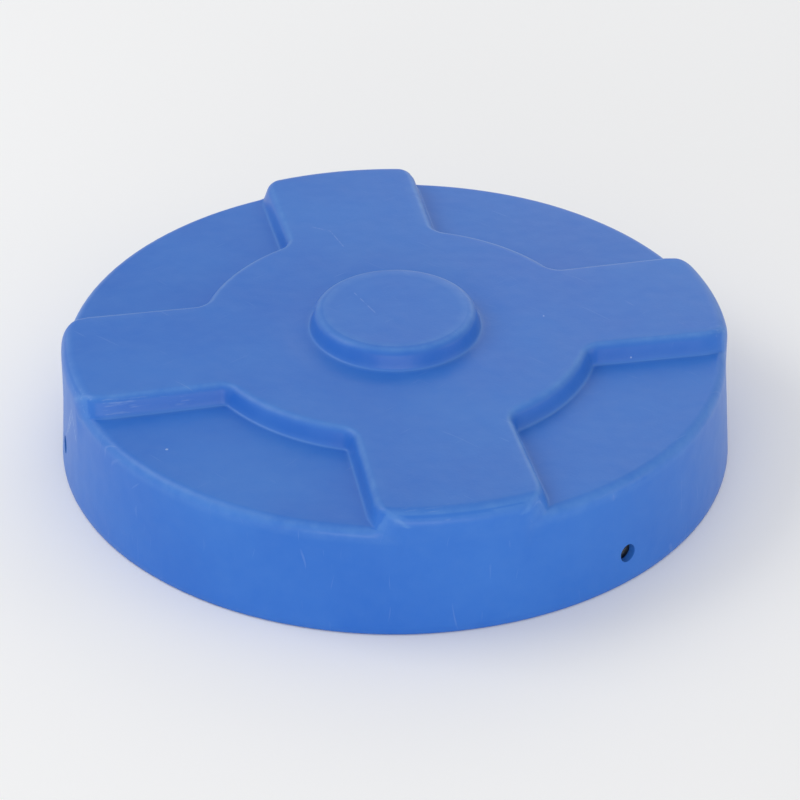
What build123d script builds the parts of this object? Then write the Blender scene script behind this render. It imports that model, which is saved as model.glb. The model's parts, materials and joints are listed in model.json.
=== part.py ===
from build123d import *

import os
from math import cos, radians, sin

# Cover and float valve of a round water trough for livestock, in millimetres, +Z up.
# The origin is the centre of the plane that the cover's skirt and the mounting ring stand on.
# The four arms of the raised cross lie along +X, +Y, -X and -Y, and the float hangs towards +X.

# ---- Driving dimensions: moulded cover --------------------------------------------------------
wall = 5.5                      # thickness of the moulding
skirt_foot_radius = 256.0       # outside of the skirt where it stands
rim_radius = 250.0              # outside of the skirt at the quadrant floors
quadrant_height = 86.0          # the four low floors between the arms
cross_height = 101.0            # the raised cross and disc
boss_height = 115.5             # the round boss on the disc
disc_radius = 150.0
boss_radius = 63.0
arm_half_width = 60.6           # at the edge of the disc
arm_splay = 0.02                # growth of the half width for each millimetre outwards
arm_end_radius = 252.4          # the arm ends stand a little proud of the skirt
arm_foot_height = 40.0          # buried start of the arm prisms, inside the skirt
step_draft = 6.0                # degrees, sides of the cross and the boss
rim_fillet = 8.0
step_fillet = 6.0
foot_fillet = 3.0
boss_fillet = 5.0
plan_corner = 5.0               # inner corners between an arm and the disc
arm_overrun = 20.0              # arm prisms run past their end before they are trimmed round
corner_search = 5.0             # the plan's inner corners lie within this of the disc

# ---- Driving dimensions: cover fixings --------------------------------------------------------
fixing_hole_radius = 7.0        # clears an M12 bolt
fixing_height = 25.0
fixing_angles = (180.0, -60.0, 60.0)
weld_nut_flats = 19.0
weld_nut_height = 10.0
weld_nut_bore = 5.1             # M12, modelled at its core
weld_bite = 0.15                # how far a welded nut sinks into the ring
nut_turning = 0.08              # turned corner of a nut, as a share of its flats

# ---- Driving dimensions: mounting ring --------------------------------------------------------
ring_radius = 245.5
ring_plate = 3.0
ring_height = 45.0
flange_width = 45.0
flange_hole_radius = 5.5        # clears an M10 bolt
flange_pitch_radius = 220.0
flange_hole_count = 6
flange_first_angle = 30.0

# ---- Driving dimensions: bridge and bracket ---------------------------------------------------
bridge_x = -60.0
bridge_width = 50.0
bridge_plate = 4.0
bridge_end_y = 222.0
bridge_joggle_outer = 194.0
bridge_joggle_inner = 178.0
bridge_lift = 10.0
stud_radius = 4.0               # M8
stud_y = 208.0
stud_spread = 15.0              # to each side of the bridge's middle
stud_length = 20.0
stud_chamfer = 0.8
bar_corner = 6.0                # rounded corners of the bridge's ends and the bracket's foot
clear_radius = 4.5              # hole for an M8 thread
washer_radius = 8.0
washer_bore = 4.2
washer_plate = 1.6
nut_flats = 13.0
nut_height = 6.5
bolt_head = 5.3
bolt_length = 23.0
bracket_plate = 3.0
bracket_half_width = 24.0
bracket_foot = 28.0
bracket_bolt_y = 15.0
bracket_bolt_x = -74.0
bracket_top = 18.0              # plate above the valve's axis
bracket_top_corner = 14.0

# ---- Driving dimensions: float valve ----------------------------------------------------------
valve_height = 72.0             # axis of the valve, along X
shank_radius = 10.45            # G 1/2 thread, modelled at its crest
shank_end = -108.0
shank_bore = 6.5
shank_chamfer = 1.0
groove_start = -71.0            # thread relief between the hose's stretch and the backnut's
groove_end = -69.0
groove_radius = 9.5
shoulder_radius = 17.0
shoulder_start = -55.0
shoulder_end = -50.0
spanner_flats = 27.0
spanner_end = -42.0
barrel_radius = 14.0
barrel_end = 12.0
barrel_bore = 9.5
thread_radius = 12.5
thread_end = 22.0
cap_flats = 30.0
cap_end = 26.0
cap_clearance = 0.5             # end room of the screwed cap at both ends of its thread
fit_gap = 0.1                   # radial room in a screwed or turned fit
seat_start = -46.0
seat_end = -34.0
seat_radius = 8.0
lip_radius = 4.5
lip_end = -32.5
orifice_radius = 2.5
orifice_chamfer = 2.0           # lead in at the seat's water side
outlet_x = -22.0
outlet_radius = 9.5
outlet_bore = 6.0
outlet_foot = 43.0
tube_radius = 11.5
tube_top = 52.0
tube_foot = 12.0
tube_rounding = 0.6
backnut_flats = 30.0
backnut_plate = 8.0
seal_radius = 16.0

# ---- Driving dimensions: lever, piston and float ----------------------------------------------
pivot_x = 2.0
pivot_height = 51.0
pin_radius = 2.5
lever_bore = 2.57               # turns on the pin with 0.07 of room
lug_gap = 3.4                   # inner face of a lug from the middle plane
lug_plate = 4.0
lug_radius = 7.5
lever_half_plate = 3.0
lever_eye = 6.5
lever_half_height = 3.5
stem_half_width = 2.0           # the stem below the tip, waisted to lean in the piston's slot
lever_reach = 18.0              # pivot to the middle of the lever's tip
slot_room = 1.0                 # past the lever's swing at each end of the body's slot
slot_shift = 2.0                # the body's slot sits back from the pivot, where the tip swings
droop = 10.0                    # degrees that the arm hangs below level with the valve open
lever_arm = 40.0                # pivot to the start of the rod socket
socket_radius = 6.0
socket_end = 52.0
socket_overlap = 2.0            # the rod socket starts inside the arm
rod_radius = 4.0
rod_start = 42.0
rod_in_float = 14.0             # how far the rod reaches past the float's edge
locknut_plate = 5.0
float_distance = 128.0          # pivot to the middle of the float
float_radius = 45.0
float_half_height = 18.0
float_rounding = 15.5
float_seam = 1.5                # weld bead round the float's middle
float_neck_radius = 9.0
float_neck = 6.0
insert_radius = 6.0
insert_cover = 2.0              # plastic over the insert's inner end
pin_head = 2.0
pin_tail = 7.0                  # pin that stands out past the lug, for the split pin
pin_chamfer = 0.5
split_pin_radius = 0.9
split_pin_inset = 3.0           # from the pin's end
split_pin_drop = 5.5            # split pin below the pivot's axis
split_pin_length = 10.5
split_pin_eye = 2.2
piston_radius = 9.42            # slides in the barrel with 0.08 of room
piston_travel = 4.1
piston_tail = 17.0
piston_slot = 4.0               # half of the slot that the lever's tip fills
piston_slot_room = 1.5          # above the lever's tip
piston_chamfer = 1.0
seat_room = 0.1                 # between the closed washer and the seat
washer_disc_radius = 7.0
washer_disc = 3.0
piston_cap_length = 6.0
piston_cap_lip = 1.0            # turned in over the washer, and its hole's room round the seat

# ---- Worked out from the dimensions above -----------------------------------------------------
ring_inner = ring_radius - ring_plate
flange_inner = ring_radius - flange_width
bridge_low = ring_plate
bridge_top = bridge_low + bridge_lift + bridge_plate
plate_back = bridge_x
plate_front = bridge_x + bracket_plate
tip_height = pivot_height + lever_reach
piston_front = lip_end + seat_room + piston_travel
arm_direction = Vector(cos(radians(droop)), 0, -sin(radians(droop)))
pivot = Vector(pivot_x, 0, pivot_height)

os.makedirs("parts", exist_ok=True)


def across(x, height=valve_height):
    """Plane square to the valve's axis, at x, facing +X."""
    return Plane(origin=(x, 0, height), x_dir=(0, 1, 0), z_dir=(1, 0, 0))


def on_arm(distance):
    """Plane square to the float arm, at a distance from the pivot, facing the float."""
    return Plane(origin=pivot + arm_direction * distance, x_dir=(0, 1, 0), z_dir=arm_direction)


def arm_side():
    """Plane of the float arm's side view: local x runs to the float and local y upwards."""
    return Plane(origin=pivot, x_dir=arm_direction, z_dir=(0, -1, 0))


def radial(angle, radius, height):
    """Plane square to a radius of the cover, facing outwards."""
    out = Vector(cos(radians(angle)), sin(radians(angle)), 0)
    return Plane(origin=out * radius + Vector(0, 0, height), x_dir=(0, 0, 1), z_dir=out)


def half_width(radius):
    """Half width of an arm of the cross at a radius."""
    return arm_half_width + arm_splay * (radius - disc_radius)


def cover_form(inset, corner):
    """The cover's solid form, moved in from its outside by inset: skirt, cross, disc and boss."""
    reach = arm_end_radius + arm_overrun
    with BuildPart() as form:
        with BuildSketch(Plane.XZ):
            with BuildLine():
                Polyline(
                    (0, -inset),
                    (skirt_foot_radius - inset, -inset),
                    (rim_radius - inset, quadrant_height - inset),
                    (0, quadrant_height - inset),
                    close=True,
                )
            make_face()
        revolve(axis=Axis.Z)
        with BuildSketch(Plane.XY.offset(quadrant_height - inset)) as plan:
            Circle(disc_radius - inset)
            with PolarLocations(0, 4):
                Polygon(
                    (0, -half_width(0) + inset),
                    (reach, -half_width(reach) + inset),
                    (reach, half_width(reach) - inset),
                    (0, half_width(0) - inset),
                    align=None,
                )
            near_disc = disc_radius + corner_search
            corners = plan.vertices().filter_by(lambda v: Vector(v.X, v.Y).length < near_disc)
            fillet(corners, corner)
            Circle(arm_end_radius - inset, mode=Mode.INTERSECT)
        extrude(amount=cross_height - quadrant_height)
        extrude(plan.sketch, amount=-(quadrant_height - inset - arm_foot_height))
        with BuildSketch(Plane.XY.offset(cross_height - inset)):
            Circle(boss_radius - inset)
        extrude(amount=boss_height - cross_height, taper=step_draft)
    return form.part


def level_edges(part, height):
    """Edges of a part that lie level at a height."""
    return part.edges().filter_by(
        lambda edge: abs(edge.bounding_box().min.Z - height) < 0.05
        and abs(edge.bounding_box().max.Z - height) < 0.05
    )


def is_arc(edge, low, high):
    """True for an arc whose radius is between two values."""
    return edge.geom_type == GeomType.CIRCLE and low < edge.radius < high


def hexagon(flats, height, bore=0.0):
    """One hexagon with turned corners, standing on the XY plane: a nut, or a head with no bore."""
    corner = flats / 3 ** 0.5
    turned = nut_turning * flats
    with BuildPart() as nut:
        with BuildSketch():
            RegularPolygon(flats / 2, 6, major_radius=False)
            if bore:
                Circle(bore, mode=Mode.SUBTRACT)
        extrude(amount=height)
        with BuildSketch(Plane.XZ):
            with BuildLine():
                Polyline(
                    (0, 0),
                    (corner - turned, 0),
                    (corner, turned / 2),
                    (corner, height - turned / 2),
                    (corner - turned, height),
                    (0, height),
                    close=True,
                )
            make_face()
        revolve(axis=Axis.Z, mode=Mode.INTERSECT)
    return nut.part


def rim_edges():
    """The cover's outer edges at the height of the quadrant floors."""
    level = level_edges(cover_shell, quadrant_height)
    return level.filter_by(lambda edge: is_arc(edge, disc_radius + plan_corner, arm_end_radius))


def boss_foot_edges():
    """The edge where the boss meets the disc."""
    level = level_edges(cover_shell, cross_height)
    return level.filter_by(lambda edge: is_arc(edge, boss_radius - 1, boss_radius + 1))


# ---- Cover ------------------------------------------------------------------------------------
with BuildPart() as cover_shell:
    add(cover_form(0, plan_corner))
    rim_arcs = rim_edges()
    step_feet = [e for e in level_edges(cover_shell, quadrant_height) if e not in rim_arcs]
    fillet(step_feet, foot_fillet)
    boss_foot = boss_foot_edges()
    fillet([e for e in level_edges(cover_shell, cross_height) if e not in boss_foot], step_fillet)
    fillet(rim_edges(), rim_fillet)
    fillet(level_edges(cover_shell, boss_height), boss_fillet)
    fillet(boss_foot_edges(), foot_fillet)
    add(cover_form(wall, plan_corner + wall), mode=Mode.SUBTRACT)
    for angle in fixing_angles:
        with BuildSketch(radial(angle, rim_radius - 3 * wall, fixing_height)):
            Circle(fixing_hole_radius)
        extrude(amount=5 * wall, mode=Mode.SUBTRACT)
cover_shell.part.label = "cover_shell"
export_step(cover_shell.part, "parts/cover_shell.step")

# ---- Mounting ring: a rolled band, welded round a flange plate that lies on the trough ---------
with BuildPart() as ring_band:
    with BuildSketch():
        Circle(ring_radius)
        Circle(ring_inner, mode=Mode.SUBTRACT)
    extrude(amount=ring_height)
    for angle in fixing_angles:
        with BuildSketch(radial(angle, ring_inner - ring_plate, fixing_height)):
            Circle(fixing_hole_radius)
        extrude(amount=3 * ring_plate, mode=Mode.SUBTRACT)
ring_band.part.label = "ring_band"
export_step(ring_band.part, "parts/ring_band.step")

with BuildPart() as ring_flange:
    with BuildSketch():
        Circle(ring_inner)
        Circle(flange_inner, mode=Mode.SUBTRACT)
        with PolarLocations(flange_pitch_radius, flange_hole_count, flange_first_angle):
            Circle(flange_hole_radius, mode=Mode.SUBTRACT)
        with Locations((bridge_x, 0)):
            with GridLocations(2 * stud_spread, 2 * stud_y, 2, 2):
                Circle(stud_radius, mode=Mode.SUBTRACT)
    extrude(amount=ring_plate)
ring_flange.part.label = "ring_flange"
export_step(ring_flange.part, "parts/ring_flange.step")

fixing_nut = hexagon(weld_nut_flats, weld_nut_height, weld_nut_bore)
nut_outer = (ring_inner ** 2 - weld_nut_flats ** 2 / 3) ** 0.5 + weld_bite
with BuildPart() as cover_weld_nuts:
    for angle in fixing_angles:
        with Locations(radial(angle, nut_outer - weld_nut_height, fixing_height)):
            add(fixing_nut)
cover_weld_nuts.part.label = "cover_weld_nuts"
export_step(cover_weld_nuts.part, "parts/cover_weld_nuts.step")

# ---- Bridge: a cranked bar across the ring, on four studs --------------------------------------
stud_places = [
    (bridge_x + side * stud_spread, end * stud_y) for side in (-1, 1) for end in (-1, 1)
]
bracket_bolt_places = [(bracket_bolt_x, -bracket_bolt_y), (bracket_bolt_x, bracket_bolt_y)]

with BuildPart() as bridge_studs:
    with BuildSketch():
        with Locations(*stud_places):
            Circle(stud_radius)
    extrude(amount=stud_length)
    chamfer(bridge_studs.edges().group_by(Axis.Z)[-1], stud_chamfer)
bridge_studs.part.label = "bridge_studs"
export_step(bridge_studs.part, "parts/bridge_studs.step")

with BuildPart() as valve_bridge:
    with BuildSketch(Plane.YZ.offset(bridge_x - bridge_width / 2)) as bar_section:
        with BuildLine():
            Polyline(
                (-bridge_end_y, bridge_low),
                (-bridge_joggle_outer, bridge_low),
                (-bridge_joggle_inner, bridge_low + bridge_lift),
                (bridge_joggle_inner, bridge_low + bridge_lift),
                (bridge_joggle_outer, bridge_low),
                (bridge_end_y, bridge_low),
                (bridge_end_y, bridge_low + bridge_plate),
                (bridge_joggle_outer, bridge_low + bridge_plate),
                (bridge_joggle_inner, bridge_top),
                (-bridge_joggle_inner, bridge_top),
                (-bridge_joggle_outer, bridge_low + bridge_plate),
                (-bridge_end_y, bridge_low + bridge_plate),
                close=True,
            )
        make_face()
        joggles = bar_section.vertices().filter_by(lambda v: abs(v.X) < bridge_end_y - 1)
        fillet(joggles, bridge_plate)
    extrude(amount=bridge_width)
    with BuildSketch():
        with Locations(*stud_places):
            Circle(clear_radius)
        with Locations(*bracket_bolt_places):
            Circle(clear_radius)
    extrude(amount=bridge_top, mode=Mode.SUBTRACT)
    fillet(valve_bridge.edges().filter_by(Axis.Z).group_by(Axis.Y)[0], bar_corner)
    fillet(valve_bridge.edges().filter_by(Axis.Z).group_by(Axis.Y)[-1], bar_corner)
valve_bridge.part.label = "valve_bridge"
export_step(valve_bridge.part, "parts/valve_bridge.step")


def washers(places, height):
    """Flat washers with their undersides at a height."""
    with BuildPart() as group:
        with BuildSketch(Plane.XY.offset(height)):
            with Locations(*places):
                Circle(washer_radius)
                Circle(washer_bore, mode=Mode.SUBTRACT)
        extrude(amount=washer_plate)
    return group.part


def nuts(places, height):
    """M8 nuts with their undersides at a height."""
    one_nut = hexagon(nut_flats, nut_height, stud_radius)
    with BuildPart() as group:
        with Locations(*[(x, y, height) for x, y in places]):
            add(one_nut)
    return group.part


bridge_washers = washers(stud_places, bridge_low + bridge_plate)
bridge_washers.label = "bridge_washers"
export_step(bridge_washers, "parts/bridge_washers.step")

bridge_nuts = nuts(stud_places, bridge_low + bridge_plate + washer_plate)
bridge_nuts.label = "bridge_nuts"
export_step(bridge_nuts, "parts/bridge_nuts.step")

# ---- Bracket: a bent plate that holds the valve upright on the bridge --------------------------
with BuildPart() as valve_bracket:
    with BuildSketch(Plane.XZ.offset(-bracket_half_width)) as plate_section:
        with BuildLine():
            Polyline(
                (plate_front, bridge_top),
                (plate_front, valve_height + bracket_top),
                (plate_back, valve_height + bracket_top),
                (plate_back, bridge_top + bracket_plate),
                (plate_front - bracket_foot, bridge_top + bracket_plate),
                (plate_front - bracket_foot, bridge_top),
                close=True,
            )
        make_face()
        bends = plate_section.vertices()
        inner_bend = bends.sort_by_distance((plate_back, bridge_top + bracket_plate))[0]
        fillet(inner_bend, bracket_plate / 2)
        outer_bend = plate_section.vertices().sort_by_distance((plate_front, bridge_top))[0]
        fillet(outer_bend, 1.5 * bracket_plate)
    extrude(amount=2 * bracket_half_width)
    with BuildSketch(across(plate_back)):
        Circle(shank_radius + fit_gap)
    extrude(amount=bracket_plate, mode=Mode.SUBTRACT)
    with BuildSketch(Plane.XY.offset(bridge_top)):
        with Locations(*bracket_bolt_places):
            Circle(clear_radius)
    extrude(amount=bracket_plate, mode=Mode.SUBTRACT)
    fillet(valve_bracket.edges().filter_by(Axis.X).group_by(Axis.Z)[-1], bracket_top_corner)
    fillet(valve_bracket.edges().filter_by(Axis.Z).group_by(Axis.X)[0], bar_corner)
valve_bracket.part.label = "valve_bracket"
export_step(valve_bracket.part, "parts/valve_bracket.step")

bolt_head_height = bridge_low + bridge_lift - bolt_head
bolt_hexagon = hexagon(nut_flats, bolt_head)

with BuildPart() as bracket_bolts:
    with Locations(*[(x, y, bolt_head_height) for x, y in bracket_bolt_places]):
        add(bolt_hexagon)
    with BuildSketch(Plane.XY.offset(bolt_head_height)):
        with Locations(*bracket_bolt_places):
            Circle(stud_radius)
    extrude(amount=bolt_length)
bracket_bolts.part.label = "bracket_bolts"
export_step(bracket_bolts.part, "parts/bracket_bolts.step")

bracket_washers = washers(bracket_bolt_places, bridge_top + bracket_plate)
bracket_washers.label = "bracket_washers"
export_step(bracket_washers, "parts/bracket_washers.step")

bracket_nuts = nuts(bracket_bolt_places, bridge_top + bracket_plate + washer_plate)
bracket_nuts.label = "bracket_nuts"
export_step(bracket_nuts, "parts/bracket_nuts.step")

# ---- Valve body: shank, shoulder, barrel, outlet boss and the two pivot lugs -------------------
with BuildPart() as valve_body:
    with BuildSketch(across(shank_end)):
        Circle(shank_radius)
    extrude(amount=shoulder_end - shank_end)
    chamfer(valve_body.edges().group_by(Axis.X)[0], shank_chamfer)
    with BuildSketch(across(groove_start)):
        Circle(shank_radius + 1)
        Circle(groove_radius, mode=Mode.SUBTRACT)
    extrude(amount=groove_end - groove_start, mode=Mode.SUBTRACT)
    with BuildSketch(across(shoulder_start)):
        Circle(shoulder_radius)
    extrude(amount=shoulder_end - shoulder_start)
    with BuildSketch(across(shoulder_end)):
        RegularPolygon(spanner_flats / 2, 6, major_radius=False, rotation=30)
    extrude(amount=spanner_end - shoulder_end)
    with BuildSketch(across(spanner_end)):
        Circle(barrel_radius)
    extrude(amount=barrel_end - spanner_end)
    with BuildSketch(across(barrel_end)):
        Circle(thread_radius)
    extrude(amount=thread_end - barrel_end)
    # outlet boss
    with BuildSketch(Plane.XY.offset(outlet_foot)):
        with Locations((outlet_x, 0)):
            Circle(outlet_radius)
    extrude(amount=valve_height - outlet_foot)
    # lugs, to each side of the lever
    for side in (-1, 1):
        with BuildSketch(Plane.XZ.offset(-side * (lug_gap + lug_plate / 2))):
            with Locations((pivot_x, pivot_height)):
                Circle(lug_radius)
            with Locations((pivot_x, (pivot_height + valve_height) / 2)):
                Rectangle(2 * lug_radius, valve_height - pivot_height)
        extrude(amount=lug_plate / 2, both=True)
    # water way, seat pocket and bore
    with BuildSketch(across(shank_end)):
        Circle(shank_bore)
    extrude(amount=seat_start - shank_end, mode=Mode.SUBTRACT)
    with BuildSketch(across(seat_start)):
        Circle(seat_radius)
    extrude(amount=seat_end - seat_start, mode=Mode.SUBTRACT)
    with BuildSketch(across(seat_end)):
        Circle(barrel_bore)
    extrude(amount=thread_end - seat_end, mode=Mode.SUBTRACT)
    with BuildSketch(Plane.XY.offset(outlet_foot)):
        with Locations((outlet_x, 0)):
            Circle(outlet_bore)
    extrude(amount=valve_height - outlet_foot, mode=Mode.SUBTRACT)
    # slot for the lever's tip, and the pivot hole
    with BuildSketch(Plane.XY.offset(valve_height - barrel_radius - 1)):
        with Locations((pivot_x - slot_shift, 0)):
            Rectangle(4 * lever_half_height + 2 * slot_room, 2 * lug_gap)
    extrude(amount=barrel_radius, mode=Mode.SUBTRACT)
    with BuildSketch(Plane.XZ):
        with Locations((pivot_x, pivot_height)):
            Circle(pin_radius)
    extrude(amount=barrel_radius, both=True, mode=Mode.SUBTRACT)
valve_body.part.label = "valve_body"
export_step(valve_body.part, "parts/valve_body.step")

with BuildPart() as valve_seat:
    with BuildSketch(across(seat_start)):
        Circle(seat_radius)
    extrude(amount=seat_end - seat_start)
    with BuildSketch(across(seat_end)):
        Circle(lip_radius)
    extrude(amount=lip_end - seat_end)
    with BuildSketch(across(seat_start)):
        Circle(orifice_radius)
    extrude(amount=lip_end - seat_start, mode=Mode.SUBTRACT)
    bore_ends = valve_seat.edges().filter_by(lambda e: is_arc(e, orifice_radius - 0.1, orifice_radius + 0.1))
    chamfer(bore_ends.sort_by(Axis.X)[0], orifice_chamfer)
valve_seat.part.label = "valve_seat"
export_step(valve_seat.part, "parts/valve_seat.step")

with BuildPart() as outlet_tube:
    with BuildSketch(Plane.XY.offset(tube_foot)):
        with Locations((outlet_x, 0)):
            Circle(tube_radius)
            Circle(outlet_radius, mode=Mode.SUBTRACT)
    extrude(amount=tube_top - tube_foot)
    fillet(outlet_tube.edges().group_by(Axis.Z)[0], tube_rounding)
outlet_tube.part.label = "outlet_tube"
export_step(outlet_tube.part, "parts/outlet_tube.step")

with BuildPart() as shoulder_seal:
    with BuildSketch(across(plate_front)):
        Circle(seal_radius)
        Circle(shank_radius, mode=Mode.SUBTRACT)
    extrude(amount=shoulder_start - plate_front)
shoulder_seal.part.label = "shoulder_seal"
export_step(shoulder_seal.part, "parts/shoulder_seal.step")

backnut_form = hexagon(backnut_flats, backnut_plate, shank_radius)
with BuildPart() as inlet_backnut:
    with Locations(across(plate_back - backnut_plate)):
        add(backnut_form)
inlet_backnut.part.label = "inlet_backnut"
export_step(inlet_backnut.part, "parts/inlet_backnut.step")

cap_start = barrel_end + cap_clearance
cap_form = hexagon(cap_flats, cap_end - cap_start)
with BuildPart() as barrel_cap:
    with Locations(across(cap_start)):
        add(cap_form)
    with BuildSketch(across(cap_start)):
        Circle(thread_radius)
    extrude(amount=thread_end + cap_clearance - cap_start, mode=Mode.SUBTRACT)
barrel_cap.part.label = "barrel_cap"
export_step(barrel_cap.part, "parts/barrel_cap.step")

# ---- Pivot pin, with a head at one side and a split pin at the other ---------------------------
pin_head_y = -(lug_gap + lug_plate)
pin_tail_y = lug_gap + lug_plate + pin_tail
split_pin_y = pin_tail_y - split_pin_inset

with BuildPart() as pivot_pin:
    with BuildSketch(Plane.XZ.offset(-pin_head_y)):
        with Locations((pivot_x, pivot_height)):
            Circle(pin_radius)
    extrude(amount=pin_head_y - pin_tail_y)
    with BuildSketch(Plane.XZ.offset(-pin_head_y)):
        with Locations((pivot_x, pivot_height)):
            Circle(2 * pin_radius)
    extrude(amount=pin_head)
    with BuildSketch(Plane.XY.offset(pivot_height - 2 * pin_radius)):
        with Locations((pivot_x, split_pin_y)):
            Circle(split_pin_radius)
    extrude(amount=4 * pin_radius, mode=Mode.SUBTRACT)
    chamfer(pivot_pin.edges().group_by(Axis.Y)[-1], pin_chamfer)
pivot_pin.part.label = "pivot_pin"
export_step(pivot_pin.part, "parts/pivot_pin.step")

split_pin_foot = pivot_height - split_pin_drop
with BuildPart() as split_pin:
    with BuildSketch(Plane.XY.offset(split_pin_foot)):
        with Locations((pivot_x, split_pin_y)):
            Circle(split_pin_radius)
    extrude(amount=split_pin_length)
    eye_place = (pivot_x, split_pin_y, split_pin_foot - split_pin_eye)
    with Locations(Plane(origin=eye_place, z_dir=(1, 0, 0))):
        Torus(split_pin_eye, split_pin_radius)
split_pin.part.label = "split_pin"
export_step(split_pin.part, "parts/split_pin.step")

# ---- Piston: slotted brass body, screwed cap and rubber washer ---------------------------------
cap_back = piston_front + piston_cap_length
with BuildPart() as piston:
    with BuildSketch(across(cap_back)):
        Circle(piston_radius)
    extrude(amount=piston_tail - cap_back)
    with BuildSketch(across(cap_back)):
        Circle(washer_disc_radius)
    extrude(amount=piston_front + washer_disc - cap_back)
    with BuildSketch(Plane.XY.offset(valve_height - 2 * piston_radius)):
        with Locations((pivot_x, 0)):
            Rectangle(2 * piston_slot, 2 * lug_gap)
    slot_top = tip_height + lever_half_height + piston_slot_room
    extrude(amount=slot_top - valve_height + 2 * piston_radius, mode=Mode.SUBTRACT)
    chamfer(piston.edges().filter_by(GeomType.CIRCLE).group_by(Axis.X)[-1], piston_chamfer)
piston.part.label = "piston"
export_step(piston.part, "parts/piston.step")

with BuildPart() as piston_cap:
    with BuildSketch(across(piston_front)):
        Circle(piston_radius)
        Circle(lip_radius + piston_cap_lip, mode=Mode.SUBTRACT)
    extrude(amount=piston_cap_length)
    with BuildSketch(across(piston_front + piston_cap_lip)):
        Circle(washer_disc_radius)
    extrude(amount=piston_cap_length - piston_cap_lip, mode=Mode.SUBTRACT)
piston_cap.part.label = "piston_cap"
export_step(piston_cap.part, "parts/piston_cap.step")

with BuildPart() as piston_washer:
    with BuildSketch(across(piston_front + piston_cap_lip)):
        Circle(washer_disc_radius)
    extrude(amount=washer_disc - piston_cap_lip)
    with BuildSketch(across(piston_front)):
        Circle(lip_radius + piston_cap_lip)
    extrude(amount=piston_cap_lip)
piston_washer.part.label = "piston_washer"
export_step(piston_washer.part, "parts/piston_washer.step")

# ---- Lever: eye on the pin, tip up into the piston, arm out to the float rod -------------------
with BuildPart() as lever:
    with BuildSketch(Plane.XZ):
        with Locations((pivot_x, pivot_height)):
            Circle(lever_eye)
        with Locations((pivot_x, (pivot_height + tip_height) / 2)):
            Rectangle(2 * stem_half_width, lever_reach)
        with Locations((pivot_x, tip_height)):
            Circle(lever_half_height)
    extrude(amount=lever_half_plate, both=True)
    with BuildSketch(arm_side()):
        with Locations((lever_arm / 2, 0)):
            Rectangle(lever_arm, 2 * lever_half_height)
    extrude(amount=lever_half_plate, both=True)
    with BuildSketch(on_arm(lever_arm - socket_overlap)):
        Circle(socket_radius)
    extrude(amount=socket_end - lever_arm + socket_overlap)
    with BuildSketch(on_arm(rod_start)):
        Circle(rod_radius)
    extrude(amount=socket_end - rod_start, mode=Mode.SUBTRACT)
    with BuildSketch(Plane.XZ):
        with Locations((pivot_x, pivot_height)):
            Circle(lever_bore)
    extrude(amount=lever_half_plate, both=True, mode=Mode.SUBTRACT)
lever.part.label = "lever"
export_step(lever.part, "parts/lever.step")

# ---- Float rod, its locknuts and the float -----------------------------------------------------
float_edge = float_distance - float_radius - float_neck
rod_end = float_distance - float_radius + rod_in_float

with BuildPart() as float_rod:
    with BuildSketch(on_arm(rod_start)):
        Circle(rod_radius)
    extrude(amount=rod_end - rod_start)
float_rod.part.label = "float_rod"
export_step(float_rod.part, "parts/float_rod.step")

locknut_form = hexagon(nut_flats, locknut_plate, rod_radius)
with BuildPart() as rod_locknuts:
    for distance in (socket_end, float_edge - locknut_plate):
        with Locations(on_arm(distance)):
            add(locknut_form)
rod_locknuts.part.label = "rod_locknuts"
export_step(rod_locknuts.part, "parts/rod_locknuts.step")

float_up = Plane(
    origin=pivot + arm_direction * float_distance,
    x_dir=arm_direction,
    z_dir=(sin(radians(droop)), 0, cos(radians(droop))),
)
with BuildPart() as float_insert:
    with BuildSketch(on_arm(float_edge)):
        Circle(insert_radius)
        Circle(rod_radius, mode=Mode.SUBTRACT)
    extrude(amount=rod_end - float_edge)
float_insert.part.label = "float_insert"
export_step(float_insert.part, "parts/float_insert.step")

with BuildPart() as float_body:
    with BuildSketch(arm_side()) as float_section:
        with Locations((float_distance + float_radius / 2, 0)):
            Rectangle(float_radius, 2 * float_half_height)
        outer_corners = float_section.vertices().group_by(Axis.X)[-1]
        fillet(outer_corners, float_rounding)
        with Locations((float_distance + float_radius, 0)):
            Rectangle(2 * float_seam, float_seam)
    revolve(axis=Axis(float_up.origin, float_up.z_dir))
    with BuildSketch(on_arm(float_edge)):
        Circle(float_neck_radius)
    extrude(amount=rod_end + insert_cover - float_edge)
    with BuildSketch(on_arm(float_edge)):
        Circle(insert_radius)
    extrude(amount=rod_end - float_edge, mode=Mode.SUBTRACT)
float_body.part.label = "float_body"
export_step(float_body.part, "parts/float_body.step")
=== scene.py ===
# %% [markdown]
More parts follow.
